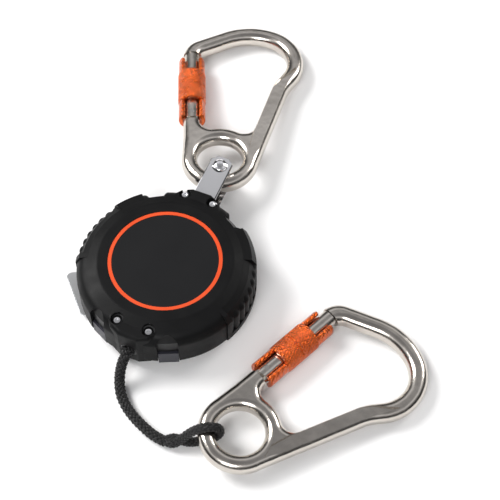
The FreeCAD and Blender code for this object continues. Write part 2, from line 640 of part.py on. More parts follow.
def make_anchor():
    """Folded steel strap out of the top of the case, and the pin that closes it."""
    half = size("strap_gap") / 2
    thick = size("strap_thick")
    middle = size("parting")
    root, neck, end = size("strap_root"), size("wing_end"), size("strap_end")
    wing, leg = size("wing_half_width"), size("strap_half_width")
    corner = 3.0
    right_side = [(wing, root), (wing, neck), (leg, neck), (leg, end - corner), (leg - corner, end)]
    left_side = [(-x, y) for x, y in reversed(right_side)]
    spots = [Vector(x, y, 0) for x, y in right_side + left_side + right_side[:1]]
    plan = Part.Face(Part.makePolygon(spots))
    solids = []
    for low in (middle - half - thick, middle + half):
        plate = plan.extrude(Vector(0, 0, thick))
        plate.translate(Vector(0, 0, low))
        solids.append(plate)
    fold_low = Vector(-leg, root, middle - half - thick)
    solids.append(Part.makeBox(2 * leg, thick, 2 * half + 2 * thick, fold_low))
    strap = solids[0].multiFuse(solids[1:])
    tall = 60
    for x, y in screw_places()[:2]:
        strap = strap.cut(Part.makeCylinder(size("screw_radius + screw_gap"), tall,
                                            Vector(size(x), size(y), 0)))
    strap = strap.cut(Part.makeCylinder(size("pin_radius + run_gap"), tall, Vector(0, size("pin_y"), 0)))
    strap = strap.removeSplitter().Solids[0]
    outer_z = (middle - half - thick, middle + half + thick)
    rims = [edge for edge in strap.Edges if edge.BoundBox.ZLength < 1e-6
            and min(abs(edge.BoundBox.ZMin - z) for z in outer_z) < 1e-4
            and edge.BoundBox.YMin > neck - 0.1 and edge.Curve.TypeId == "Part::GeomLine"]
    keep("anchor_strap", feature("strap", strap.makeChamfer(0.45, rims)))
    low, high = outer_z
    rivet_radius = "pin_radius + 1.2"
    dome_high = "%s + pin_head_height" % high
    pin = turned("pin_blank", [
        (0, low - 0.9), (rivet_radius, low - 0.9), (rivet_radius, low - 0.05), ("pin_radius", low - 0.05),
        ("pin_radius", high + 0.05), ("pin_head_radius", high + 0.05),
        ("pin_head_radius - 0.5", high + 1.1), ("pin_head_radius - 2", dome_high),
        (0, dome_high + " + 0.2")],
        [("pin_head_radius - 0.5", high + 1.1, 0.8), ("pin_head_radius - 2", dome_high, 1.5)])
    keep("anchor_pin", pin, Placement(Vector(0, size("pin_y"), 0), Rotation()))


def clip_plan():
    """Outline of the clip seen from above: round at the rivet, small corners and notches at the tip."""
    half_wide = size("clip_width") / 2
    corner = size("clip_corner")
    length = size("clip_length")
    tall = 12
    pieces = [Part.makeCylinder(half_wide, tall, Vector(0, 0, -1)),
              Part.makeBox(length - corner, 2 * half_wide, tall, Vector(0, -half_wide, -1)),
              Part.makeBox(length, 2 * (half_wide - corner), tall, Vector(0, corner - half_wide, -1))]
    pieces += [Part.makeCylinder(corner, tall, Vector(length - corner, y, -1))
               for y in (half_wide - corner, corner - half_wide)]
    plan = pieces[0].multiFuse(pieces[1:]).removeSplitter()
    pitch = size("clip_notch_pitch")
    count = int((half_wide - corner) / pitch)
    notches = [Part.makeCylinder(size("clip_notch"), tall, Vector(length, pitch * place, -1))
               for place in range(-count, count + 1)]
    hole = Part.makeCylinder(size("rivet_radius") + size("run_gap"), tall, Vector(0, 0, -1))
    return plan.cut(notches + [hole])


def make_clip():
    """Swivelling spring-steel belt clip, its rivet and washer."""
    half_wide = "clip_width * 0.5"
    pad_top = "clip_pad_low + clip_thick"
    side = padded("clip_side", [
        ("-" + half_wide, "clip_pad_low"), ("clip_pad_end", "clip_pad_low"), ("clip_bow", 0),
        ("clip_bend", 0), ("clip_length", "clip_lift"), ("clip_length", "clip_lift + clip_thick"),
        ("clip_bend - 0.5", "clip_thick"), ("clip_bow + 0.6", "clip_thick"),
        ("clip_pad_end + 0.6", pad_top), ("-" + half_wide, pad_top)],
        "-" + half_wide, half_wide, "XZ_Plane")
    doc.recompute()
    kept = doc.addObject("Part::Common", "clip_plan_cut")
    kept.Base = side
    kept.Tool = feature("clip_plan", clip_plan())
    pivot = Vector(0, size("clip_pivot_y"), 0)
    keep("belt_clip", kept, Placement(pivot, Rotation(Z_AXIS, size("clip_heading"))))
    under_head = "clip_pad_low - 0.05"
    rivet = turned("rivet_blank", [
        (0, "rivet_foot"), ("rivet_head_radius - 1.4", "rivet_foot"),
        ("rivet_head_radius", "rivet_foot + 1"),
        ("rivet_head_radius", under_head), ("rivet_radius", under_head),
        ("rivet_radius", "rivet_top - 0.05"), (0, "rivet_top - 0.05")])
    keep("clip_rivet", rivet, Placement(pivot, Rotation()))
    low, high = pad_top + " + 0.04", "case_bottom - 0.04"
    washer = turned("washer_blank", [("rivet_radius + 0.1", low), ("washer_radius", low),
                                     ("washer_radius", high), ("rivet_radius + 0.1", high)])
    keep("clip_washer", washer, Placement(pivot, Rotation()))


# ---------------------------------------------------------------- carabiners

FRAME_PATH = [(0.0, -15.7, 0), (60.0, -15.3, 0), (95.0, -25.4, 0), (95.0, 16.1, 0), (70.6, 41.0, 0),
              (65.6, 39.2, 0)]
FRAME_BENDS = [25.0, 21.0, 31.0, 7.5]
ROOT_PATH = [(-2.0, 15.8, 0), (9.0, 19.0, 0), (20.2, 22.9, 0)]
WEB_PANEL = [(4.5, -17.2), (10.5, -12.9), (20.0, -11.6), (58.0, -11.6), (64.5, -13.6), (70.5, -17.0),
             (75.5, -19.8), (66.0, -19.0), (58.0, -18.2), (12.0, -18.4)]


# coil springs: mean radius, wire radius, both ends along the gate, turns
GATE_COIL = (1.15, 0.25, 9.8, 19.8, 9)
SLEEVE_COIL = (4.85, 0.55, 12.2, 23.0, 6)


def gate_frame(place):
    """Frame at the gate's hinge, with X along the gate."""
    spot = Vector(size("gate_pin_x"), size("gate_pin_y"), 0)
    return place.multiply(Placement(spot, Rotation(Z_AXIS, size("gate_tilt"))))


def frame_shape():
    """Forged body: rounded bar and eye in one outline, hinge tongue, and sunk panels on both faces."""
    half = size("bar_half")
    hollow = size("hollow")
    bar = tangent_wire(FRAME_PATH, FRAME_BENDS).makeOffset2D(half, 0, True, False)
    shank = tangent_wire(ROOT_PATH, [20.0]).makeOffset2D(half, 0, True, False)
    eye = Part.Face(Part.Wire([Part.makeCircle(size("ring_radius + ring_bar"))]))
    outline = bar.fuse([eye, shank]).removeSplitter().Faces[0]
    outline = outline.makeOffset2D(hollow, 0, False, False).makeOffset2D(-hollow, 0, False, False)
    hole = Part.Face(Part.Wire([Part.makeCircle(size("ring_radius - ring_bar"))]))
    body = outline.cut(hole).Faces[0].extrude(Vector(0, 0, 2 * half))
    body.translate(Vector(0, 0, -half))
    rims = [edge for edge in body.Edges if edge.BoundBox.ZLength < 1e-3]
    body = body.makeFillet(size("bar_round"), rims)
    place = gate_frame(Placement())
    reach = size("tongue_reach")
    shoulder = size("shoulder_gap")
    mouth = Part.makeBox(size("gate_length + nose_gap") + shoulder, 20, 20, Vector(-shoulder, -10, -10))
    thin = size("tongue_half")
    root = shoulder + 1.0
    tongue = Part.makeBox(root, 2 * reach, 2 * thin, Vector(-root, -reach, -thin))
    tongue = tongue.fuse(Part.makeCylinder(reach, 2 * thin, Vector(0, 0, -thin)))
    pin_hole = Part.makeCylinder(size("hinge_pin_radius"), 20, Vector(0, 0, -10))
    for tool in (mouth, tongue, pin_hole):
        tool.Placement = place.multiply(tool.Placement)
    body = body.cut(mouth).fuse(tongue).cut(pin_hole)
    panel = Part.Face(Part.makePolygon([Vector(x, y, 0) for x, y in WEB_PANEL + WEB_PANEL[:1]]))
    for side in (1, -1):
        block = panel.extrude(Vector(0, 0, side * 6))
        block.translate(Vector(0, 0, side * size("web_half")))
        body = body.cut(block)
    return body


def gate_shape():
    """Round gate with a hinge fork, a neck under the sleeve and a spring bore."""
    radius = size("gate_radius")
    length = size("gate_length")
    bar = Part.makeCylinder(radius, length, Vector(), X_AXIS)
    bar = bar.fuse(Part.makeBox(4.3, 2 * radius, 2 * radius, Vector(0, -radius, -radius)).common(
        Part.makeCylinder(radius, 2 * radius, Vector(0, 0, -radius))).common(
        Part.makeCylinder(radius, 12, Vector(-6, 0, 0), X_AXIS)))
    back = Part.makeCylinder(radius, 12, Vector(-6, 0, 0), X_AXIS).common(
        Part.makeCylinder(radius, 2 * radius, Vector(0, 0, -radius)))
    bar = bar.fuse(back)
    slot = Part.makeBox(size("gate_slot_depth") + 10, 20, 2 * size("gate_slot"),
                        Vector(-10, -10, -size("gate_slot")))
    neck_low, neck_high = size("cavity_start") + 0.6, size("cavity_end") - 0.6
    neck = Part.makeCylinder(radius + 1, neck_high - neck_low, Vector(neck_low, 0, 0), X_AXIS).cut(
        Part.makeCylinder(size("gate_neck"), neck_high - neck_low, Vector(neck_low, 0, 0), X_AXIS))
    bore = Part.makeCylinder(size("gate_bore"), size("gate_bore_depth"), Vector(0, 0, 0), X_AXIS)
    hole = Part.makeCylinder(size("hinge_pin_radius") + size("run_gap"), 20, Vector(0, 0, -10))
    guide = Part.makeCylinder(size("guide_pin_radius"), 20,
                              Vector(size("guide_pin_at"), 0, -size("guide_pin_foot")))
    return bar.cut([slot, neck, bore, hole, guide]).removeSplitter()


def sleeve_shape():
    """Locking sleeve: barrel with open windows at both ends, an inner cavity and a guide slot."""
    start, end = size("sleeve_start"), size("sleeve_end")
    lip, full = size("sleeve_lip_radius"), size("sleeve_radius")
    hinge_step, nose_step = size("window_hinge"), size("window_nose")
    profile = [(start, lip - 0.5), (start + 0.5, lip), (hinge_step, lip), (hinge_step + 1.2, full),
               (nose_step - 1.2, full), (nose_step, lip), (end - 0.5, lip), (end, lip - 0.5)]
    bore, cavity = size("sleeve_bore"), size("sleeve_cavity")
    room_low, room_high = size("cavity_start"), size("cavity_end")
    inner = [(end, bore), (room_high, bore), (room_high, cavity), (room_low, cavity), (room_low, bore),
             (start, bore)]
    spots = [Vector(x, radius, 0) for x, radius in profile + inner]
    barrel = Part.Face(Part.makePolygon(spots + spots[:1])).revolve(Vector(), X_AXIS, 360)
    half = math.radians(90 - size("prong_half_angle"))
    wide = 12.0
    for low, high in ((start - 1, hinge_step), (nose_step, end + 1)):
        for side in (1, -1):
            wedge = Part.makePolygon([Vector(low, 0, 0), Vector(low, -wide * math.tan(half), side * wide),
                                      Vector(low, wide * math.tan(half), side * wide), Vector(low, 0, 0)])
            barrel = barrel.cut(Part.Face(wedge).extrude(Vector(high - low, 0, 0)))
    slit = Part.makeBox(0.9, 2 * full, full, Vector(18.6, -full + 1.5, 1.2))
    groove = Part.makeBox(5.2, 0.9, full, Vector(nose_step - 5.2, 1.0, cavity - 1.8))
    return barrel.cut([slit, groove]).removeSplitter()


def coil_shape(radius, wire, start, end, turns):
    """Row of closed rings on the X axis, standing for a coil spring's turns."""
    step = (end - start - 2 * wire) / (turns - 1)
    rings = [Part.makeTorus(radius, wire, Vector(start + wire + step * place, 0, 0), X_AXIS)
             for place in range(turns)]
    spine = Part.makeCylinder(wire * 0.6, end - start - 2 * wire, Vector(start + wire, 0, radius), X_AXIS)
    return spine.multiFuse(rings)


def make_carabiner(prefix, place):
    """One captive-eye carabiner with its twist-lock gate, laid out at its place."""
    gate = gate_frame(place)
    keep(prefix + "_frame", feature(prefix + "_frame_body", frame_shape(), place))
    keep(prefix + "_gate", feature(prefix + "_gate_body", gate_shape(), gate))
    keep(prefix + "_sleeve", feature(prefix + "_sleeve_body", sleeve_shape(), gate))
    pin = Part.makeCylinder(size("hinge_pin_radius"), 2 * size("gate_radius") - 0.5,
                            Vector(0, 0, 0.25 - size("gate_radius")))
    keep(prefix + "_hinge_pin", feature(prefix + "_hinge_rivet", pin, gate))
    plunger = Part.makeCylinder(size("gate_bore") - size("run_gap"), 5.0, Vector(4.6, 0, 0), X_AXIS)
    keep(prefix + "_plunger", feature(prefix + "_plunger_body", plunger, gate))
    for role, coil in (("gate", GATE_COIL), ("sleeve", SLEEVE_COIL)):
        name = "%s_%s_spring" % (prefix, role)
        keep(name, feature(name + "_coil", coil_shape(*coil), gate))
    guide = Part.makeCylinder(size("guide_pin_radius"), size("guide_pin_length"),
                              Vector(size("guide_pin_at"), 0, -size("guide_pin_foot")))
    keep(prefix + "_guide_pin", feature(prefix + "_guide_pin_body", guide, gate))


UPPER_PLACE = Placement(Vector(-4.0, 77.2, 13.6), Rotation(94.4, 0, 0).multiply(Rotation(Y_AXIS, 5.12)))
LOWER_PLACE = Placement(Vector(66.1, -62.2, 8.75), Rotation(46.6, 0, 0).multiply(
    Rotation(Y_AXIS, 2.2)).multiply(Rotation(X_AXIS, 1.6)))


# ---------------------------------------------------------------- cord

def make_cord():
    """Free cord from the outlet to the splice, the splice, and the loop round the lower ring."""
    radius = size("cord_diameter") / 2
    radii = free_radii(CORD_ROUTE)
    wire = tangent_wire(CORD_ROUTE, radii)
    body = tube(wire, radius)
    keep("lanyard_cord", feature("cord_run", body))
    expected = math.pi * radius ** 2 * wire.Length
    print("cord radii", [round(value, 1) for value in radii], "length", round(wire.Length, 1),
          "volume ratio", round(body.Volume / expected, 4))
    make_loop(radius)


def make_loop(radius):
    """Splice at the free cord's end, and the loop of thinner legs round the lower ring."""
    ring_spot = LOWER_PLACE.multVec(polar(size("ring_radius"), RING_HEADING))
    frame = Placement(ring_spot, Rotation(Z_AXIS, LOOP_HEADING))
    wrap, thin = size("loop_wrap"), size("loop_cord") / 2
    floor = thin + size("floor_gap") - ring_spot.z
    apex = Vector(-size("loop_reach"), 0, floor + 2 * thin + 0.2)
    lean = math.atan2(apex.z, apex.x) - math.acos(wrap / math.hypot(apex.x, apex.z))
    top = Vector(wrap * math.cos(lean), 0, wrap * math.sin(lean))
    bottom = Vector(0, 0, -wrap)
    loop_wire = Part.Wire([
        Part.LineSegment(apex, top).toShape(), Part.Arc(top, Vector(wrap, 0, 0), bottom).toShape(),
        Part.LineSegment(bottom, Vector(-size("loop_reach"), 0, -wrap)).toShape()])
    keep("cord_loop", feature("loop_run", tube(loop_wire, thin), frame))
    start = Vector(*CORD_ROUTE[-1])
    finish = frame.multVec(Vector(1.4 - size("loop_reach"), 0, floor + thin + 0.4))
    splice = Part.makeCone(radius + 0.2, 2 * thin + 0.1, (finish - start).Length, start, finish - start)
    above_floor = Part.makeBox(300, 300, 60, Vector(-150, -150, 0.05))
    keep("cord_splice", feature("splice_run", splice.common(above_floor)))


def main():
    """Build every sub-part, check it and write it out."""
    make_shells()
    make_jackets()
    make_label()
    make_screws()
    make_reel()
    make_spring()
    make_outlet()
    make_anchor()
    make_clip()
    make_carabiner("upper", UPPER_PLACE)
    make_carabiner("lower", LOWER_PLACE)
    make_cord()
    doc.recompute()
    failed = [item.Name for item in doc.Objects if "Invalid" in item.State or "Error" in item.State]
    if failed:
        raise RuntimeError("failed objects: " + ", ".join(failed))
    for node, thing in parts.items():
        if thing.Shape.isNull() or not thing.Shape.isValid() or not thing.Shape.Solids:
            raise RuntimeError("bad shape: " + node)
    os.makedirs("parts", exist_ok=True)
    for node, thing in parts.items():
        thing.Shape.exportStep("parts/%s.step" % node)
        bounds = thing.Shape.BoundBox
        print("%-22s solids %d  volume %9.1f  z %6.2f..%6.2f"
              % (node, len(thing.Shape.Solids), thing.Shape.Volume, bounds.ZMin, bounds.ZMax))


main()
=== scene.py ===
"""Looks of the retractable tool lanyard: finishes, braided cord, wound cord, knurled sleeves, light and camera.

Everything is in metres in the row frame: origin on the resting plane under the case, +Z out of the label face,
+Y towards the anchor strap.
"""

import json
import logging
import math
from dataclasses import dataclass, field
from enum import Enum
from typing import Dict, List, Sequence, Tuple

import bpy
import numpy as np
from mathutils import Matrix, Vector

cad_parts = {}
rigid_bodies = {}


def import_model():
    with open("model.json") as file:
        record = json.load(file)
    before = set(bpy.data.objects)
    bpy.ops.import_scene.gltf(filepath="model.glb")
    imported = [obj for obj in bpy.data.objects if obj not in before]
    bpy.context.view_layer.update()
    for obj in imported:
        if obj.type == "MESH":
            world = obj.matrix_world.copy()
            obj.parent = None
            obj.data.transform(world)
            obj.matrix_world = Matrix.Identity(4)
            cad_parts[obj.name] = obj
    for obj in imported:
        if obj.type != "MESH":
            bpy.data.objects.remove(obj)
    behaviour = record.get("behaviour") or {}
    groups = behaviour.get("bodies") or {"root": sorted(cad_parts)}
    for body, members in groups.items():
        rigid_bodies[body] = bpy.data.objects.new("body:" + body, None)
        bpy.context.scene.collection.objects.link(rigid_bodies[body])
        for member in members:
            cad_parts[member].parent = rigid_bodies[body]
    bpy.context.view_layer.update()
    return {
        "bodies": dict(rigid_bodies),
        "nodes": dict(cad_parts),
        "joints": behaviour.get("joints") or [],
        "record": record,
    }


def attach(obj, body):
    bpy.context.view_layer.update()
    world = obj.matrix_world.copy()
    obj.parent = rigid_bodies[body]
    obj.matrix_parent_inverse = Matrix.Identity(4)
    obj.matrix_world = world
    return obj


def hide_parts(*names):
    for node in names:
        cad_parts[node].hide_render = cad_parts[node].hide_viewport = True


logging.basicConfig(level=logging.INFO, format="%(message)s")
LOG = logging.getLogger("tool_lanyard")
MM = 0.001
Colour = Tuple[float, float, float]
Grid = np.ndarray


class Relief(Enum):
    """The kinds of fine surface relief that a finish can carry."""

    GRAIN = "grain"
    BRUSHED = "brushed"
    HAMMERED = "hammered"
    FIBRE = "fibre"
    KNURLED = "knurled"


class Side(Enum):
    """The two carabiners, named as their nodes begin."""

    UPPER = "upper"
    LOWER = "lower"


# ------------------------------------------------------------------ finishes


class NodeBench:
    """A material's node tree with short calls to add and join nodes."""

    def __init__(self, name: str) -> None:
        """Start a material.

        Args:
            name: The material's name.
        """
        self.material = bpy.data.materials.new(name)
        self.material.use_nodes = True
        self.tree = self.material.node_tree
        self.shader = self.tree.nodes["Principled BSDF"]
        self.place = self.tree.nodes.new("ShaderNodeTexCoord")

    def add(self, kind: str, **values: object) -> bpy.types.Node:
        """Add a node and set its properties or, by name, its sockets.

        Args:
            kind: The node's type.
            **values: Property or socket values; an underscore stands for a space in a socket's name.

        Returns:
            The node.
        """
        node = self.tree.nodes.new(kind)
        for name, value in values.items():
            if name in node.bl_rna.properties:
                setattr(node, name, value)
            else:
                node.inputs[name.replace("_", " ")].default_value = value
        return node

    def join(self, out: bpy.types.NodeSocket, into: bpy.types.NodeSocket) -> None:
        """Link one socket to another."""
        self.tree.links.new(out, into)

    def noise(self, scale: float, detail: float = 3.0, stretch: Sequence[float] = (1, 1, 1),
              source: str = "Object") -> bpy.types.NodeSocket:
        """Noise over the surface, stretched along the axes.

        Args:
            scale: Cycles per metre, before the stretch, or per UV unit.
            detail: Octaves of the noise.
            stretch: Factor on each coordinate.
            source: Which texture coordinate to read.

        Returns:
            The socket of the noise's value, about 0.5 in the mean.
        """
        turn = self.add("ShaderNodeMapping")
        turn.inputs["Scale"].default_value = stretch
        self.join(self.place.outputs[source], turn.inputs["Vector"])
        made = self.add("ShaderNodeTexNoise", Scale=scale, Detail=detail, Roughness=0.55)
        self.join(turn.outputs["Vector"], made.inputs["Vector"])
        return made.outputs["Fac"]

    def waves(self, axis: str, pitch: float) -> bpy.types.NodeSocket:
        """Smooth ridges across one axis; the wave texture has 20 scale / (2 pi) ridges to the metre.

        Args:
            axis: The axis that the ridges stand across.
            pitch: Distance from ridge to ridge in metres.

        Returns:
            The socket of the ridge height, from 0 to 1.
        """
        made = self.add("ShaderNodeTexWave", bands_direction=axis, Scale=math.pi / 10 / pitch)
        self.join(self.place.outputs["Object"], made.inputs["Vector"])
        return made.outputs["Fac"]

    def ramp(self, value: bpy.types.NodeSocket, low: float, high: float, to_low: float,
             to_high: float) -> bpy.types.NodeSocket:
        """Value carried linearly from one range to another.

        Args:
            value: The socket to read.
            low: Value that becomes to_low.
            high: Value that becomes to_high.
            to_low: Result at low.
            to_high: Result at high.

        Returns:
            The socket of the result.
        """
        node = self.add("ShaderNodeMapRange", From_Min=low, From_Max=high, To_Min=to_low, To_Max=to_high)
        self.join(value, node.inputs["Value"])
        return node.outputs["Result"]

    def mix(self, share: bpy.types.NodeSocket, first: Colour, second: Colour) -> bpy.types.NodeSocket:
        """Colour between two, by a share from 0 to 1."""
        node = self.add("ShaderNodeMix", data_type="RGBA")
        for socket in node.inputs:
            if socket.type == "RGBA" and socket.name in ("A", "B"):
                socket.default_value = (*(first if socket.name == "A" else second), 1.0)
        self.join(share, node.inputs["Factor"])
        return [out for out in node.outputs if out.type == "RGBA"][0]

    def bump(self, height: bpy.types.NodeSocket, depth: float) -> None:
        """Raise the surface by a height from 0 to 1 times depth, in metres, after any bump already there."""
        node = self.add("ShaderNodeBump", Strength=1.0, Distance=depth)
        self.join(height, node.inputs["Height"])
        before = self.shader.inputs["Normal"].links
        if before:
            self.join(before[0].from_socket, node.inputs["Normal"])
        self.join(node.outputs["Normal"], self.shader.inputs["Normal"])


@dataclass(frozen=True)
class Finish:
    """How a surface looks: its colours, its gloss and its relief.

    Colour and gloss drift between two values with soft clouds.  The relief is fine grain of relief_depth metres;
    a hammered finish adds wider dents and a knurled one crossed ridges.
    """

    name: str
    colour: Colour
    worn: Colour
    roughness: Tuple[float, float]
    metallic: float = 0.0
    relief: Relief = Relief.GRAIN
    relief_scale: float = 900.0
    relief_depth: float = 0.00003
    cloud_scale: float = 60.0
    coat: float = 0.0
    coat_roughness: float = 0.1
    sheen: float = 0.0
    specular: float = 0.5
    dent_scale: float = 0.12
    dent_depth: float = 12.0
    ridge_pitch: float = math.pi / 2500
    ridge_depth: float = 0.00022

    def stretch(self) -> Tuple[float, float, float]:
        """Factors that draw the noise out along the relief's grain."""
        drawn = {Relief.BRUSHED: (1.0, 1.0, 14.0), Relief.FIBRE: (1.0, 9.0, 1.0)}
        return drawn.get(self.relief, (1.0, 1.0, 1.0))

    def build(self) -> bpy.types.Material:
        """Make the node material.

        Returns:
            The material.
        """
        bench = NodeBench(self.name)
        shader = bench.shader
        shader.inputs["Metallic"].default_value = self.metallic
        shader.inputs["Coat Weight"].default_value = self.coat
        shader.inputs["Coat Roughness"].default_value = self.coat_roughness
        shader.inputs["Sheen Weight"].default_value = self.sheen
        shader.inputs["Specular IOR Level"].default_value = self.specular
        cloud = bench.noise(self.cloud_scale, 4.0)
        share = bench.ramp(cloud, 0.35, 0.68, 0.0, 1.0)
        bench.join(bench.mix(share, self.colour, self.worn), shader.inputs["Base Color"])
        smudge = bench.noise(self.cloud_scale * 2.3, 5.0)
        bench.join(bench.ramp(smudge, 0.3, 0.7, *self.roughness), shader.inputs["Roughness"])
        source = "UV" if self.relief is Relief.FIBRE else "Object"
        fine = bench.noise(self.relief_scale, 3.0, self.stretch(), source)
        bench.bump(fine, self.relief_depth)
        if self.relief is Relief.HAMMERED:
            dents = bench.noise(self.relief_scale * self.dent_scale, 1.0)
            bench.bump(dents, self.relief_depth * self.dent_depth)
        if self.relief is Relief.KNURLED:
            for axis in ("X", "Y"):
                bench.bump(bench.waves(axis, self.ridge_pitch), self.ridge_depth)
        return bench.material


RUBBER = Finish("soft_rubber", (0.0040, 0.0041, 0.0044), (0.0060, 0.0061, 0.0064), (0.42, 0.54),
                relief_scale=2600.0, relief_depth=0.00003, specular=0.12)
# Near black on the front shell is painted shade: it stands for the shadow in the dark recess at the top of the
# jacket's windows, while the rear shell keeps its bluish grey.
FRONT_SHELL_PAINTED_SHADE = Finish("front_shell_painted_shade", (0.006, 0.006, 0.0065), (0.008, 0.008, 0.0085), (0.36, 0.46),
                     relief_scale=3200.0, relief_depth=0.00002, specular=0.35)
SHELL = Finish("moulded_shell", (0.024, 0.024, 0.034), (0.031, 0.031, 0.042), (0.36, 0.48), relief_scale=3200.0,
               relief_depth=0.00002, specular=0.4)
LABEL = Finish("label_film", (0.0095, 0.0097, 0.0105), (0.0112, 0.0114, 0.0122), (0.40, 0.48),
               relief_scale=2400.0, relief_depth=0.000004, cloud_scale=25.0, specular=0.12)
RING_PRINT = Finish("orange_band", (0.66, 0.066, 0.012), (0.71, 0.076, 0.015), (0.40, 0.50), relief_scale=2400.0,
                    relief_depth=0.000004, specular=0.3)
CHROME = Finish("polished_chrome", (0.80, 0.80, 0.82), (0.86, 0.86, 0.88), (0.08, 0.16), metallic=1.0,
                relief_scale=700.0, relief_depth=0.000004)
FORGED = Finish("satin_forged_steel", (0.56, 0.52, 0.475), (0.66, 0.62, 0.57), (0.15, 0.25), metallic=1.0,
                relief=Relief.HAMMERED, relief_scale=1500.0, relief_depth=0.000012, cloud_scale=45.0)
TURNED = Finish("turned_steel", (0.44, 0.42, 0.40), (0.54, 0.52, 0.50), (0.20, 0.32), metallic=1.0,
                relief=Relief.BRUSHED, relief_scale=900.0, relief_depth=0.00001)
SPRING = Finish("spring_wire", (0.30, 0.31, 0.33), (0.40, 0.41, 0.43), (0.28, 0.40), metallic=1.0,
                relief_depth=0.000008)
ANODISED = Finish("orange_anodised", (0.62, 0.100, 0.012), (0.74, 0.135, 0.018), (0.20, 0.32), metallic=0.8,
                  relief=Relief.KNURLED, relief_scale=3000.0, relief_depth=0.000010, coat=0.3, coat_roughness=0.15)
BRASS = Finish("turned_brass", (0.58, 0.40, 0.16), (0.68, 0.49, 0.22), (0.25, 0.38), metallic=1.0,
               relief=Relief.BRUSHED)
REEL = Finish("reel_nylon", (0.050, 0.053, 0.058), (0.070, 0.073, 0.078), (0.42, 0.55), relief_depth=0.00002)
BUSH = Finish("glossy_bush", (0.008, 0.008, 0.009), (0.012, 0.012, 0.013), (0.22, 0.32), relief_depth=0.000006)
ACETAL = Finish("ivory_acetal", (0.72, 0.70, 0.64), (0.78, 0.76, 0.71), (0.35, 0.48), relief_depth=0.00001)
CLIP = Finish("satin_clip_steel", (0.60, 0.61, 0.62), (0.68, 0.69, 0.70), (0.34, 0.46), metallic=0.45,
              relief_scale=1800.0, relief_depth=0.00001)
YARN = Finish("braided_yarn", (0.0018, 0.0018, 0.0020), (0.0070, 0.0070, 0.0075), (0.26, 0.44), relief=Relief.FIBRE,
              relief_scale=60.0, relief_depth=0.00006, cloud_scale=420.0, sheen=0.03, specular=0.42)
CORE = Finish("cord_core", (0.004, 0.004, 0.0045), (0.007, 0.007, 0.0075), (0.50, 0.62), relief_depth=0.00003)


# ------------------------------------------------------------------ mesh code


@dataclass
class Surface:
    """One closed surface as a grid of points [row, column], with its texture scale.

    Columns always close into rings.  Rows either close too, or end in a fan over each end ring.
    """

    points: Grid
    rows_close: bool = False
    texture: Tuple[float, float] = (1.0, 1.0)

    def faces(self, base: int) -> Tuple[Grid, List[List[int]]]:
        """Quads between neighbouring points, and fans over the two ends, all facing outwards.

        The volume under the faces, a sixth of the sum of p . (q x r) over their triangles, tells which way they
        face: where it is negative, each face's corners are turned round.

        Args:
            base: Number of the surface's first point in the mesh.

        Returns:
            The points [n, 3] and the faces as lists of point numbers.
        """
        rows, columns = self.points.shape[:2]
        ids = np.arange(rows * columns).reshape(rows, columns)
        below = np.roll(ids, -1, axis=0) if self.rows_close else ids[1:]
        above = ids if self.rows_close else ids[:-1]
        quads = np.stack([above, np.roll(above, -1, axis=1), np.roll(below, -1, axis=1), below], axis=-1)
        quads = quads.reshape(-1, 4)
        flat = self.points.reshape(-1, 3)
        fans = np.zeros((0, 3), dtype=int)
        if not self.rows_close:
            hubs = self.points[[0, -1]].mean(axis=1)
            flat = np.concatenate([flat, hubs])
            first, last = ids[0], ids[-1]
            start = np.stack([np.roll(first, -1), first, np.full(columns, rows * columns)], axis=-1)
            end = np.stack([last, np.roll(last, -1), np.full(columns, rows * columns + 1)], axis=-1)
            fans = np.concatenate([start, end])
        triangles = np.concatenate([quads[:, [0, 1, 2]], quads[:, [0, 2, 3]], fans])
        a, b, c = (flat[triangles[:, corner]] for corner in range(3))
        if np.einsum("ij,ij->", a, np.cross(b, c)) < 0:
            quads, fans = quads[:, ::-1], fans[:, ::-1]
        return flat, (quads + base).tolist() + (fans + base).tolist()

    def texture_points(self) -> Grid:
        """Texture coordinates [n, 2]: columns run across and rows run along."""
        rows, columns = self.points.shape[:2]
        along, across = np.meshgrid(np.arange(rows) / rows, np.arange(columns) / columns, indexing="ij")
        grid = np.stack([across * self.texture[0], along * self.texture[1]], axis=-1).reshape(-1, 2)
        hubs = np.zeros((0 if self.rows_close else 2, 2))
        return np.concatenate([grid, hubs])


def build_mesh(name: str, surfaces: Sequence[Surface]) -> bpy.types.Object:
    """Object made of closed surfaces.

    Args:
        name: The object's name.
        surfaces: Its surfaces.

    Returns:
        The object, linked to the scene.
    """
    points: List[Grid] = []
    faces: List[List[int]] = []
    base = 0
    for surface in surfaces:
        flat, corners = surface.faces(base)
        points.append(flat)
        faces += corners
        base += len(flat)
    data = bpy.data.meshes.new(name)
    data.from_pydata(np.concatenate(points).tolist(), [], faces)
    texture = np.concatenate([surface.texture_points() for surface in surfaces])
    loops = np.zeros(len(data.loops), dtype=np.int32)
    data.loops.foreach_get("vertex_index", loops)
    data.uv_layers.new(name="UVMap").data.foreach_set("uv", texture[loops].astype(np.float32).ravel())
    data.polygons.foreach_set("use_smooth", np.ones(len(data.polygons), dtype=bool))
    data.update()
    made = bpy.data.objects.new(name, data)
    bpy.context.scene.collection.objects.link(made)
    return made


def across_path(path: Grid, reference: Sequence[float]) -> Tuple[Grid, Grid]:
    """Two directions across a path.

    The first is a fixed reference direction less its part along the path, made unit length; the second is
    heading x first.

    Args:
        path: Points [n, 3].
        reference: A direction that the path never follows.

    Returns:
        The first and the second direction at each point, each [n, 3].
    """
    heading = np.gradient(path, axis=0)
    heading /= np.linalg.norm(heading, axis=1, keepdims=True)
    fixed = np.array(reference)
    first = fixed - heading * (heading @ fixed)[:, None]
    first /= np.linalg.norm(first, axis=1, keepdims=True)
    return first, np.cross(heading, first)


def lengths_along(path: Grid) -> Grid:
    """Length along a path at each of its points."""
    steps = np.linalg.norm(np.diff(path, axis=0), axis=1)
    return np.concatenate([[0.0], np.cumsum(steps)])


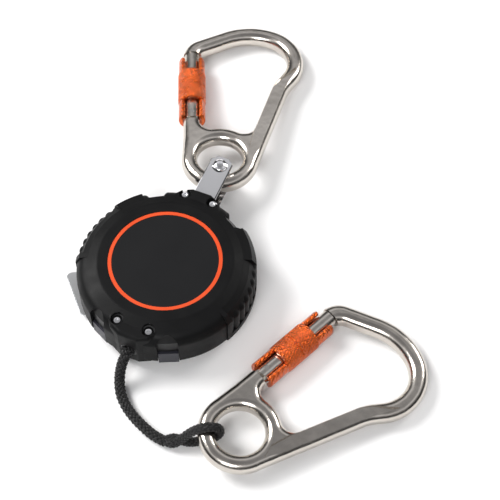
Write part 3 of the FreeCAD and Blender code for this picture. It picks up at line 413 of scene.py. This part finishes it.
def evenly_spaced(path: Grid, step: float) -> Grid:
    """The same path with points a step apart."""
    length = lengths_along(path)
    spots = np.linspace(0, length[-1], int(length[-1] / step) + 1)
    return np.stack([np.interp(spots, length, path[:, axis]) for axis in range(3)], axis=1)


@dataclass(frozen=True)
class Braid:
    """A tubular braid: strands wind both ways round the cord and pass over and under each other.

    cover is a strand's width as a share of the room it has on the surface.
    """

    radius: float
    strands: int
    pitch: float
    thick: float
    lift: float
    flatten: float = 1.0
    cover: float = 0.93
    section_points: int = 8

    def surfaces(self, path: Grid, reference: Sequence[float]) -> List[Surface]:
        """Strand surfaces along a path.

        Half of the strands wind to the right and half to the left.  A strand's centre is at the angle
        a = phase +- 2 pi s / pitch and at the radius r = R - thick - lift +- lift cos(N pi s / pitch), for N strands
        and length s, so that it passes over one strand and under the next.  Its section is an ellipse that lies on
        the cord.

        Args:
            path: Centre line [n, 3].
            reference: Direction from which the angles are measured; the path never follows it.

        Returns:
            One surface per strand.
        """
        length = lengths_along(path)
        first, second = across_path(path, reference)
        each = self.strands // 2
        width = math.pi * self.radius / each * self.cover
        around = np.linspace(0, 2 * math.pi, self.section_points, endpoint=False)
        made = []
        for hand in (1, -1):
            wave = hand * np.cos(2 * math.pi * each * length / self.pitch)
            radius = self.radius - self.thick - self.lift + self.lift * wave
            for strand in range(each):
                angle = 2 * math.pi * (strand / each + hand * length / self.pitch)
                out = first * np.cos(angle)[:, None] + second * (np.sin(angle) * self.flatten)[:, None]
                centre = path + out * radius[:, None]
                heading = np.gradient(centre, axis=0)
                aside = np.cross(heading, out)
                aside /= np.linalg.norm(aside, axis=1, keepdims=True)
                ring = (centre[:, None] + aside[:, None] * (np.cos(around) * width / 2)[None, :, None]
                        + out[:, None] * (np.sin(around) * self.thick)[None, :, None])
                made.append(Surface(ring, texture=(1.0, length[-1] / self.pitch * 4)))
        return made


# ------------------------------------------------------------------ sub-assemblies


@dataclass
class CaseDress:
    """Finishes of the case, its anchor and its belt clip, whose shapes come from the CAD nodes."""

    finishes: Dict[str, Finish] = field(default_factory=lambda: {
        # front_shell gets the near-black painted shade of the window recesses.
        "front_jacket": RUBBER, "rear_jacket": RUBBER, "front_shell": FRONT_SHELL_PAINTED_SHADE, "rear_shell": SHELL,
        "label_disc": LABEL, "label_ring": RING_PRINT, "case_screws": CHROME, "screw_inserts": BRASS,
        "cord_reel": REEL, "reel_flange": REEL, "reel_bushes": ACETAL, "reel_axle": TURNED,
        "mainspring": SPRING, "spring_cover": REEL, "cord_outlet": BUSH, "anchor_strap": CHROME,
        "anchor_pin": CHROME, "belt_clip": CLIP, "clip_rivet": TURNED, "clip_washer": ACETAL,
    })

    def dress(self, frame: dict, made: Dict[str, bpy.types.Material]) -> None:
        """Give each node its material.

        Args:
            made: Materials by name; new ones are added.
        """
        for node, finish in self.finishes.items():
            paint(frame["nodes"][node], finish, made)
            LOG.info("node %s: %s", node, finish.name)


@dataclass
class WoundCord:
    """The cord on the reel, as turns that lie side by side in the channel."""

    inner: float = 13.1 * MM
    outer: float = 33.4 * MM
    low: float = 11.25 * MM
    high: float = 19.35 * MM
    turn_width: float = 5.1 * MM
    bulge: float = 0.9 * MM
    points_per_turn: int = 14
    columns: int = 120

    def edge(self, start: Tuple[float, float], end: Tuple[float, float]) -> Grid:
        """One side of the winding's section, with a bulge for each turn.

        Between two corners (radius, height) the outline runs straight, drawn in by bulge (1 - |sin(n pi t)|) on the
        side's right hand, for share t and n turns.

        Args:
            start: First corner.
            end: Last corner.

        Returns:
            Outline points [n, 2] without the last corner.
        """
        first, last = np.array(start), np.array(end)
        length = float(np.linalg.norm(last - first))
        turns = max(1, round(length / self.turn_width))
        share = np.linspace(0, 1, self.points_per_turn * turns, endpoint=False)[:, None]
        inward = np.array([last[1] - first[1], first[0] - last[0]]) / length
        return first + (last - first) * share + inward * self.bulge * (1 - np.abs(np.sin(turns * math.pi * share)))

    def build(self, made: Dict[str, bpy.types.Material]) -> None:
        """Build the winding, which turns with the reel.

        Args:
            made: Materials by name.
        """
        corners = [(self.inner, self.low), (self.inner, self.high), (self.outer, self.high), (self.outer, self.low)]
        outline = np.concatenate([self.edge(a, b) for a, b in zip(corners, corners[1:] + corners[:1])])
        angle = np.linspace(0, 2 * math.pi, self.columns, endpoint=False)
        radius, height = outline[:, :1], outline[:, 1:]
        points = np.stack([radius * np.cos(angle), radius * np.sin(angle), height + 0 * angle], axis=-1)
        coil = build_mesh("wound_coil", [Surface(points, rows_close=True, texture=(40.0, 12.0))])
        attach(coil, "reel")
        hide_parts("wound_cord")
        paint(coil, YARN, made)
        LOG.info("%s: %d faces", coil.name, len(coil.data.polygons))


@dataclass
class Carabiner:
    """A captive-eye carabiner: the CAD body and gate with a knurled locking sleeve.

    Lengths are along the gate from its hinge, and radii are round the gate's axis.
    """

    side: Side
    start: float = -3.6 * MM
    end: float = 39.6 * MM
    barrel_start: float = 8.4 * MM
    barrel_end: float = 29.4 * MM
    outer: float = 7.7 * MM
    lip: float = 7.25 * MM
    bore: float = 5.0 * MM
    prong_half_angle: float = math.radians(42)
    knurl_count: int = 38
    knurl_depth: float = 0.28 * MM
    slit_at: float = 18.6 * MM
    slit_width: float = 0.9 * MM
    slit_depth: float = 0.7 * MM
    slit_middle: float = math.pi - 1.2
    slit_half_angle: float = 0.9
    knurl_slant: float = 1.15
    rim: float = 1.2 * MM
    soft: float = 0.25 * MM
    arc_points: int = 28

    def gate_frame(self, frame: dict) -> Tuple[Vector, Matrix]:
        """Place of the gate's hinge and the directions along the gate, across it and out of the carabiner's plane.


        Returns:
            The hinge's place and a matrix whose columns are the three directions.
        """
        joints = {joint["name"]: joint for joint in frame["joints"]}
        swing = joints[self.side.value + "_gate_swing"]
        along = Vector(joints[self.side.value + "_sleeve_twist"]["axis"]).normalized()
        normal = -Vector(swing["axis"]).normalized()
        across = normal.cross(along).normalized()
        return Vector(swing["pos_m"]), Matrix((along, across, normal)).transposed()

    def profile(self, along: Grid) -> Grid:
        """Outer radius along the barrel: full in the middle, rounded down to the lip over the rim at both ends."""
        from_end = np.minimum(along - self.barrel_start, self.barrel_end - along)
        share = np.clip(from_end / self.rim, 0, 1)
        return self.lip + (self.outer - self.lip) * (1 - (1 - share) ** 2)

    def barrel(self) -> Surface:
        """Knurled barrel, turned round the gate's axis.

        The knurl is two families of helical grooves that cross: its height is the lower of two triangle waves in
        n a + k u and n a - k u, for angle a and length u, and it fades towards the barrel's rims.  A narrow slit
        runs part of the way round.

        Returns:
            The surface, with its inner wall, in the gate's frame.
        """
        columns = self.knurl_count * 8
        angle = np.linspace(0, 2 * math.pi, columns, endpoint=False)
        step = 2 * math.pi * self.outer / columns
        along = np.arange(self.barrel_start, self.barrel_end, step)
        u, a = np.meshgrid(along, angle, indexing="ij")
        turn = self.knurl_count * a
        slide = self.knurl_count * u / self.outer * self.knurl_slant
        waves = [np.abs(((phase / (2 * math.pi)) % 1.0) * 2 - 1) for phase in (turn + slide, turn - slide)]
        height = np.clip(np.minimum(waves[0], waves[1]) * 1.6, 0, 1)
        rim = np.clip(np.minimum(u - self.barrel_start, self.barrel_end - u) / (1.0 * MM) - 0.4, 0, 1)
        off_middle = np.abs((a - self.slit_middle + math.pi) % (2 * math.pi) - math.pi)
        open_slit = (np.abs(u - self.slit_at) < self.slit_width / 2) & (off_middle < self.slit_half_angle)
        radius = self.profile(u) - self.knurl_depth * (1 - height) * rim - open_slit * self.slit_depth
        outer = np.stack([u, radius * np.cos(a), radius * np.sin(a)], axis=-1)
        inner_rows = [(self.barrel_end, self.bore), (self.barrel_start, self.bore)]
        inner = np.stack([np.stack([np.full_like(angle, at), reach * np.cos(angle), reach * np.sin(angle)], axis=-1)
                          for at, reach in inner_rows])
        return Surface(np.concatenate([outer, inner]), rows_close=True, texture=(6.0, 3.0))

    def prong(self, low: float, high: float, heading: float) -> Surface:
        """One of the sleeve's open-ended prongs.

        Its section is a slice of a ring between the bore and the lip, with rounded corners: r and a go round a
        closed line, a along the outer arc one way and along the inner arc back.

        Args:
            low: Where it starts on the gate's axis.
            high: Where it ends.
            heading: Angle of its middle round the axis.

        Returns:
            The surface in the gate's frame.
        """
        half = self.prong_half_angle
        arc = np.linspace(-half, half, self.arc_points)
        soft = self.soft
        angle = np.concatenate([arc, [half + soft / self.lip] * 2, arc[::-1], [-half - soft / self.lip] * 2])
        middle = (self.lip + self.bore) / 2
        side = [self.lip - soft * 1.4, self.bore + soft * 1.4]
        reach = np.concatenate([np.full(self.arc_points, self.lip), side,
                                np.full(self.arc_points, self.bore), side[::-1]])
        along = np.array([low, low + 0.01 * MM, low + soft, high - soft, high - 0.01 * MM, high])
        shrink = np.array([0.82, 0.86, 1.0, 1.0, 0.86, 0.82])
        radius = middle + (reach - middle)[None] * shrink[:, None]
        around = heading + angle[None] * np.ones((len(along), 1))
        points = np.stack([along[:, None] + 0 * around, radius * np.cos(around), radius * np.sin(around)], axis=-1)
        return Surface(points, texture=(4.0, 2.0))

    def sleeve(self, frame: dict, made: Dict[str, bpy.types.Material]) -> bpy.types.Object:
        """Build the locking sleeve in place of its CAD node.

        Args:
            made: Materials by name.

        Returns:
            The sleeve.
        """
        spot, turn = self.gate_frame(frame)
        surfaces = [self.barrel()]
        for heading in (0.0, math.pi):
            surfaces.append(self.prong(self.start, self.barrel_start + self.rim, heading))
            surfaces.append(self.prong(self.barrel_end - self.rim, self.end, heading))
        matrix = np.array(turn)
        for surface in surfaces:
            surface.points = surface.points @ matrix.T + np.array(spot)
        sleeve = build_mesh(self.side.value + "_knurled_sleeve", surfaces)
        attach(sleeve, self.side.value + "_lock")
        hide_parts(self.side.value + "_sleeve")
        paint(sleeve, ANODISED, made)
        return sleeve

    def dress(self, frame: dict, made: Dict[str, bpy.types.Material]) -> None:
        """Build the sleeve and give the CAD nodes their materials.

        Args:
            made: Materials by name.
        """
        finishes = {"frame": FORGED, "gate": FORGED, "hinge_pin": TURNED, "plunger": TURNED, "gate_spring": SPRING,
                    "sleeve_spring": SPRING, "guide_pin": TURNED}
        for ending, finish in finishes.items():
            paint(frame["nodes"]["%s_%s" % (self.side.value, ending)], finish, made)
        sleeve = self.sleeve(frame, made)
        LOG.info("%s: %d faces", sleeve.name, len(sleeve.data.polygons))


@dataclass
class LanyardCord:
    """The free cord, its spliced legs and the loop round the lower carabiner's eye, all of braided cord.

    A leg's points are (length from the splice, offset to the left, height) in millimetres.  lowest is how far the
    loop reaches below the middle of the eye's bar.
    """

    diameter: float = 5.3 * MM
    leg_width: float = 5.0 * MM
    leg_thick: float = 4.2 * MM
    exit: Tuple[float, float, float] = (0.0, -0.0451, 0.0152)
    route: Tuple[Tuple[float, float, float], ...] = (
        (0.0, -0.0406, 0.0152), (-0.0004, -0.0476, 0.0149), (-0.0012, -0.0528, 0.0098), (0.0, -0.0579, 0.0044),
        (0.0032, -0.0633, 0.0028), (0.0084, -0.0682, 0.00272), (0.0148, -0.0721, 0.00272),
        (0.0220, -0.0752, 0.00272), (0.0282, -0.0772, 0.00272), (0.0334, -0.0776, 0.00275))
    eye_bar: Tuple[float, float, float] = (0.05129, -0.06897, 0.0094)
    loop_heading: float = math.radians(33.5)
    wrap: float = 7.15 * MM
    lowest: float = -7.0 * MM
    step: float = 0.26 * MM
    upper_leg: Tuple[Tuple[float, float, float], ...] = (
        (0.0, 0.3, 3.4), (2.6, -1.7, 3.4), (5.4, -1.6, 3.9), (8.2, -0.6, 5.9), (11.2, 0.2, 9.2),
        (14.4, 0.3, 12.9))
    lower_leg: Tuple[Tuple[float, float, float], ...] = (
        (0.0, 0.0, 2.5), (2.6, 1.5, 2.7), (5.4, 1.5, 2.6), (8.2, 0.2, 2.4), (11.2, -0.9, 2.35),
        (15.2, -0.9, 2.35))

    def spline(self, name: str, points: Sequence[Sequence[float]], thick: float) -> bpy.types.Object:
        """Smooth curve with the points as its control points; its bevel of 1 m is scaled by the points' radius.

        Args:
            name: The object's name.
            points: Control points in the row frame.
            thick: Radius of its round section; 0 for a bare line.

        Returns:
            The curve object.
        """
        data = bpy.data.curves.new(name, "CURVE")
        data.dimensions = "3D"
        data.resolution_u = 24
        data.bevel_depth = 1.0 if thick else 0.0
        data.bevel_resolution = 5
        data.use_fill_caps = True
        line = data.splines.new("NURBS")
        line.points.add(len(points) - 1)
        for control, point in zip(line.points, points):
            control.co = (*point, 1.0)
            control.radius = thick
        line.order_u = 3
        line.use_endpoint_u = True
        made = bpy.data.objects.new(name, data)
        bpy.context.scene.collection.objects.link(made)
        return made

    def line_of(self, points: Sequence[Sequence[float]]) -> Grid:
        """Points read from the smooth curve through a route."""
        bare = self.spline("cord_line", points, 0.0)
        bpy.context.view_layer.update()
        mesh = bpy.data.meshes.new_from_object(bare.evaluated_get(bpy.context.evaluated_depsgraph_get()))
        flat = np.zeros(len(mesh.vertices) * 3)
        mesh.vertices.foreach_get("co", flat)
        bpy.data.objects.remove(bare)
        bpy.data.meshes.remove(mesh)
        return flat.reshape(-1, 3)

    def leg_route(self) -> List[Tuple[float, float, float]]:
        """Control points of the leg cord: out of the splice, round the eye's bar and back.

        Round the bar the points lie on a circle a little wider than the wrap, so that the curve itself touches the
        wrap: a curve of order 3 touches the middle of each side between its control points, 20 degrees from both.

        Returns:
            Points in the row frame.
        """
        bar = np.array(self.eye_bar)
        start = np.array(self.route[-1]) * (1, 1, 0)
        along = (bar - start) * (1, 1, 0)
        along /= np.linalg.norm(along)
        ahead = np.array([math.cos(self.loop_heading), math.sin(self.loop_heading), 0.0])
        left = np.array([-along[1], along[0], 0.0])
        up = np.array([0.0, 0.0, 1.0])
        legs = [[tuple(start + along * s * MM + left * aside * MM + up * high * MM) for s, aside, high in leg]
                for leg in (self.upper_leg, self.lower_leg)]
        reach = self.wrap / math.cos(math.radians(20))
        angles = np.radians([100, 60, 20, -20, -60, -92])
        ring = [tuple(bar + ahead * reach * math.cos(angle) + up * max(reach * math.sin(angle), self.lowest))
                for angle in angles]
        return legs[0] + ring + legs[1][::-1]

    def build(self, made: Dict[str, bpy.types.Material]) -> None:
        """Build the cord, its braid, and the braided legs and loop.

        Args:
            made: Materials by name.
        """
        core = self.spline("lanyard_core", self.route, self.diameter * 0.38)
        line = evenly_spaced(self.line_of(self.route), self.step)
        cover = Braid(radius=self.diameter * 0.53, strands=12, pitch=14.5 * MM, thick=0.54 * MM, lift=0.34 * MM)
        braid = build_mesh("lanyard_braid", cover.surfaces(line, (0.7, 0.7, 0.1)))
        legs = evenly_spaced(self.line_of(self.leg_route()), self.step)
        sideways = (-math.sin(self.loop_heading), math.cos(self.loop_heading), 0.0)
        leg_cover = Braid(radius=self.leg_width / 2, strands=12, pitch=14.0 * MM, thick=0.46 * MM, lift=0.26 * MM,
                          flatten=self.leg_thick / self.leg_width)
        loop = build_mesh("spliced_loop", leg_cover.surfaces(legs, sideways))
        heart = self.spline("loop_core", self.leg_route(), self.leg_thick * 0.36)
        for piece, node, finish in ((core, "lanyard_cord", CORE), (braid, None, YARN), (loop, "cord_loop", YARN),
                                    (heart, "cord_splice", CORE)):
            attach(piece, "case")
            if node:
                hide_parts(node)
            paint(piece, finish, made)
            LOG.info("%s rides on the case", piece.name)


@dataclass
class Studio:
    """Pale floor, soft light and the camera."""

    camera_at: Tuple[float, float, float] = (0.16945, -0.29861, 0.59665)
    azimuth: float = math.radians(22.55)
    elevation: float = math.radians(58.5)
    lens: float = 96.1
    aim: Tuple[float, float, float] = (0.03, 0.02, 0.01)
    floor_half: float = 6.0
    floor_height: float = -0.1 * MM
    sky_greys: Tuple[Tuple[float, float], ...] = ((0.50, 0.10), (0.76, 0.80), (0.86, 0.34))

    def camera(self) -> None:
        """Put the camera at its place with a level horizon."""
        data = bpy.data.cameras.new("camera")
        data.lens = self.lens
        data.sensor_width = 36.0
        data.clip_start = 0.02
        data.clip_end = 20.0
        eye = bpy.data.objects.new("camera", data)
        bpy.context.scene.collection.objects.link(eye)
        back = Vector((math.sin(self.azimuth) * math.cos(self.elevation),
                       -math.cos(self.azimuth) * math.cos(self.elevation), math.sin(self.elevation)))
        right = Vector((math.cos(self.azimuth), math.sin(self.azimuth), 0.0))
        up = back.cross(right)
        turn = Matrix((right, up, back)).transposed().to_4x4()
        eye.matrix_world = Matrix.Translation(self.camera_at) @ turn
        bpy.context.scene.camera = eye

    def light(self, name: str, place: Sequence[float], size: float, watts: float, colour: Colour) -> None:
        """Square soft light that looks at the object.

        Args:
            name: The light's name.
            place: Where it stands.
            size: Its side.
            watts: Its power.
            colour: Its colour.
        """
        data = bpy.data.lights.new(name, "AREA")
        data.size = size
        data.energy = watts
        data.color = colour
        lamp = bpy.data.objects.new(name, data)
        bpy.context.scene.collection.objects.link(lamp)
        lamp.location = place
        lamp.rotation_mode = "QUATERNION"
        lamp.rotation_quaternion = (Vector(self.aim) - Vector(place)).to_track_quat("-Z", "Y")

    def floor(self) -> None:
        """Wide pale floor just under the object."""
        half = self.floor_half
        corners = [(-half, -half), (half, -half), (half, half), (-half, half)]
        data = bpy.data.meshes.new("floor")
        data.from_pydata([(*corner, self.floor_height) for corner in corners], [], [(0, 1, 2, 3)])
        plane = bpy.data.objects.new("floor", data)
        bpy.context.scene.collection.objects.link(plane)
        bench = NodeBench("pale_floor")
        bench.shader.inputs["Base Color"].default_value = (0.93, 0.93, 0.93, 1.0)
        bench.shader.inputs["Roughness"].default_value = 0.9
        bench.shader.inputs["Specular IOR Level"].default_value = 0.1
        data.materials.append(bench.material)

    def sky(self) -> None:
        """Soft surroundings: dark at the horizon, a bright band half-way up and mid grey overhead."""
        world = bpy.data.worlds.new("studio")
        bpy.context.scene.world = world
        world.use_nodes = True
        tree = world.node_tree
        place = tree.nodes.new("ShaderNodeTexCoord")
        split = tree.nodes.new("ShaderNodeSeparateXYZ")
        ramp = tree.nodes.new("ShaderNodeValToRGB")
        ramp.color_ramp.elements[0].position = 0.05
        ramp.color_ramp.elements[0].color = (0.030, 0.030, 0.030, 1.0)
        ramp.color_ramp.elements[1].position = 1.0
        ramp.color_ramp.elements[1].color = (0.20, 0.20, 0.21, 1.0)
        for position, grey in self.sky_greys:
            ramp.color_ramp.elements.new(position).color = (grey, grey, grey * 1.02, 1.0)
        tree.links.new(place.outputs["Generated"], split.inputs["Vector"])
        tree.links.new(split.outputs["Z"], ramp.inputs["Fac"])
        tree.links.new(ramp.outputs["Color"], tree.nodes["Background"].inputs["Color"])
        tree.nodes["Background"].inputs["Strength"].default_value = 1.0

    def build(self) -> None:
        """Make the floor, the lights, the surroundings and the camera."""
        self.floor()
        self.sky()
        self.light("key_softbox", (-1.25, 0.10, 1.25), 0.8, 30.0, (1.0, 0.99, 0.98))
        self.light("front_softbox", (0.10, -1.30, 1.30), 0.7, 14.0, (1.0, 1.0, 1.0))
        self.light("back_softbox", (0.75, 1.20, 0.90), 0.5, 8.5, (1.0, 0.98, 0.96))
        bpy.context.scene.view_settings.view_transform = "Standard"
        self.camera()


def paint(piece: bpy.types.Object, finish: Finish, made: Dict[str, bpy.types.Material]) -> None:
    """Give a piece one material, made once per finish.

    Args:
        piece: A mesh or curve object.
        finish: Its finish.
        made: Materials by name; a new one is added.
    """
    if finish.name not in made:
        made[finish.name] = finish.build()
    piece.data.materials.clear()
    piece.data.materials.append(made[finish.name])


def main() -> None:
    """Load the frame, build every piece in order and note the sizes."""
    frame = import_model()
    made: Dict[str, bpy.types.Material] = {}
    CaseDress().dress(frame, made)
    for side in Side:
        Carabiner(side).dress(frame, made)
    WoundCord().build(made)
    LanyardCord().build(made)
    Studio().build()
    bpy.context.view_layer.update()


if __name__ == "__main__":
    main()
